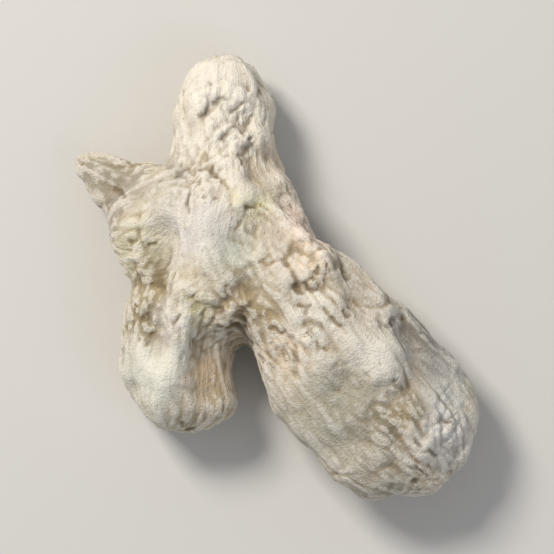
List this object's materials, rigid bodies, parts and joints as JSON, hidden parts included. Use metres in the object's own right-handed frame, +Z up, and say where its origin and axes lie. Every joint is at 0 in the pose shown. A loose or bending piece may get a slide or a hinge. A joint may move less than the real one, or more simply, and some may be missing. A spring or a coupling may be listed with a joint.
{
  "type": "dried ginger root",
  "caption": "Whole dried ginger rhizome with a blunt horn, a small side bud and two legs with a narrow cleft between them.",
  "frame": {"origin": "on the surface the root lies on, under the middle of its bounding box", "axes": "+Y from the two legs to the horn, +X to the side of the longer leg, +Z up from the surface"},
  "size_m": [0.0424, 0.0466, 0.0149],
  "materials": {
    "dried_skin": "dry matt wrinkled skin, pale cream with a chalky bloom on the high places and tan in the creases"
  },
  "bodies": {
    "root": {"ginger_root": "dried_skin"}
  },
  "joints": []
}
